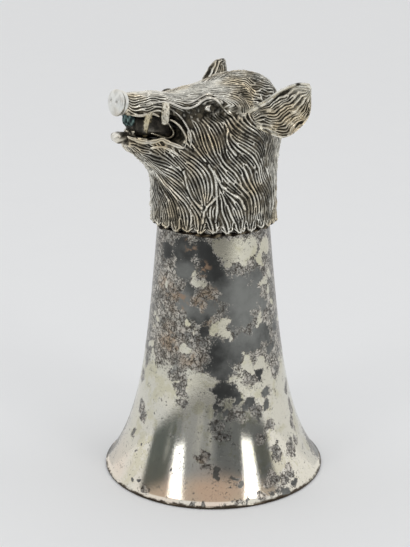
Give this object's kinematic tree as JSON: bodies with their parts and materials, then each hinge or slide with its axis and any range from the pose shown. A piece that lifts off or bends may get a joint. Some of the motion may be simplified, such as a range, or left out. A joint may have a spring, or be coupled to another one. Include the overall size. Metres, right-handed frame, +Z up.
{
  "type": "hunting goblet",
  "caption": "Silver-plated drinking cup with a flared bell standing on its rim, capped by a cast boar's head with open mouth, tusks and spread ears.",
  "frame": {"origin": "centre of the rim's resting plane, on the cup's axis", "axes": "+Z up along the cup's axis from the rim to the boar's head, the snout points along -Y, and the boar's left side is +X"},
  "size_m": [0.07, 0.07, 0.1261],
  "materials": {
    "tarnished_plate": "silver plate, glossy, mottled with charcoal tarnish",
    "antique_casting": "antiqued cast metal, bright crests over blackened grooves",
    "polished_casting": "rubbed bright, softly pitted",
    "dark_casting": "blackened recess",
    "verdigris": "dark metal crusted with green corrosion",
    "solder": "dull solder, darkened"
  },
  "bodies": {
    "root": {"bell_cup": "tarnished_plate", "solder_ring": "solder", "head_casting": "antique_casting", "ear_left": "antique_casting", "ear_right": "antique_casting", "snout_disc": "polished_casting", "upper_tusk_left": "polished_casting", "upper_tusk_right": "polished_casting", "lower_tusk_left": "polished_casting", "lower_tusk_right": "polished_casting", "lower_incisors": "polished_casting", "upper_incisors": "verdigris", "tongue": "dark_casting", "eye_left": "dark_casting", "eye_right": "dark_casting"}
  },
  "joints": []
}
